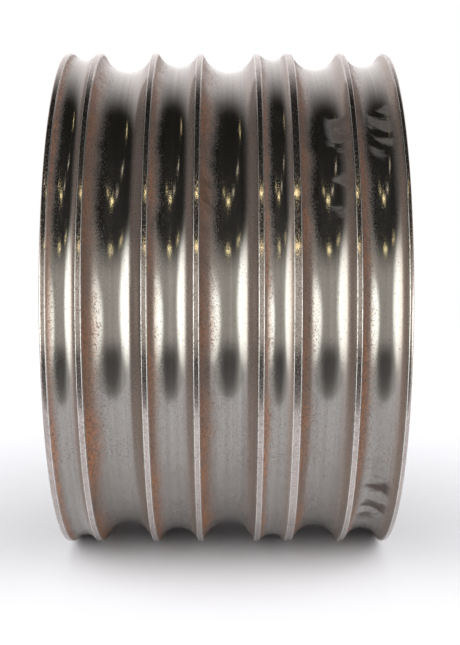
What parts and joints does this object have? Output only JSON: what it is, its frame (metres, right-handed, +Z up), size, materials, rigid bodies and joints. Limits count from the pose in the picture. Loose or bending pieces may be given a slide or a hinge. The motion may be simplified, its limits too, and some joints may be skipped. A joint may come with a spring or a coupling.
{
  "type": "grooved pulley",
  "caption": "Wide welded steel guide pulley with round-bottomed grooves of several widths, turning on sealed ball bearings round a hollow axle sleeve.",
  "frame": {"origin": "centre of the pulley: on its axis, half way between its end faces", "axes": "+Y along the pulley axis towards the end with the medium groove, +Z up, +X towards the side it is usually seen from"},
  "size_m": [0.3, 0.196, 0.3],
  "materials": {
    "rim_steel": "turned steel polished by use, satin where it rests, with pits and a thin rust film on the groove walls",
    "frame_paint": "dark grey machine enamel over plate and weld beads, chipped and dusty",
    "axle_steel": "turned and ground steel",
    "bearing_steel": "ground bearing steel",
    "cage_brass": "machined brass",
    "black_steel": "black oxide",
    "gasket_fibre": "compressed fibre sheet, oily at the edge",
    "cover_iron": "machined cast iron with a thin oil film",
    "seal_rubber": "moulded nitrile rubber",
    "spring_steel": "oiled spring steel",
    "bolt_zinc": "zinc plated steel, dulled"
  },
  "bodies": {
    "axle": {"axle_sleeve": "axle_steel", "bearing_spacer": "axle_steel", "left_inner_ring": "bearing_steel", "left_tab_washer": "black_steel", "left_lock_nut": "black_steel", "right_inner_ring": "bearing_steel", "right_tab_washer": "black_steel", "right_lock_nut": "black_steel"},
    "pulley": {"grooved_rim": "rim_steel", "hub_tube": "frame_paint", "left_web": "frame_paint", "left_web_ribs": "frame_paint", "left_rim_weld": "frame_paint", "left_hub_weld": "frame_paint", "left_rib_welds": "frame_paint", "left_outer_ring": "bearing_steel", "left_cover_gasket": "gasket_fibre", "left_bearing_cover": "cover_iron", "left_lip_seal": "seal_rubber", "left_garter_spring": "spring_steel", "left_cover_bolts": "bolt_zinc", "left_spring_washers": "spring_steel", "left_grease_nipple": "bolt_zinc", "right_web": "frame_paint", "right_web_ribs": "frame_paint", "right_rim_weld": "frame_paint", "right_hub_weld": "frame_paint", "right_rib_welds": "frame_paint", "right_outer_ring": "bearing_steel", "right_cover_gasket": "gasket_fibre", "right_bearing_cover": "cover_iron", "right_lip_seal": "seal_rubber", "right_garter_spring": "spring_steel", "right_cover_bolts": "bolt_zinc", "right_spring_washers": "spring_steel", "right_grease_nipple": "bolt_zinc"},
    "left_cage": {"left_bearing_balls": "bearing_steel", "left_cage_halves": "cage_brass", "left_cage_rivets": "cage_brass"},
    "right_cage": {"right_bearing_balls": "bearing_steel", "right_cage_halves": "cage_brass", "right_cage_rivets": "cage_brass"}
  },
  "joints": [
    {"name": "pulley_spin", "type": "hinge", "parent": "axle", "child": "pulley", "pos_m": [0, 0, 0], "axis": [0, 1, 0], "continuous": true},
    {"name": "left_cage_spin", "type": "hinge", "parent": "axle", "child": "left_cage", "pos_m": [0, -0.0555, 0], "axis": [0, 1, 0], "continuous": true},
    {"name": "right_cage_spin", "type": "hinge", "parent": "axle", "child": "right_cage", "pos_m": [0, 0.0555, 0], "axis": [0, 1, 0], "continuous": true}
  ],
  "couplings": [
    {"joint": "left_cage_spin", "follows": "pulley_spin", "ratio": 0.6204},
    {"joint": "right_cage_spin", "follows": "pulley_spin", "ratio": 0.6204}
  ]
}
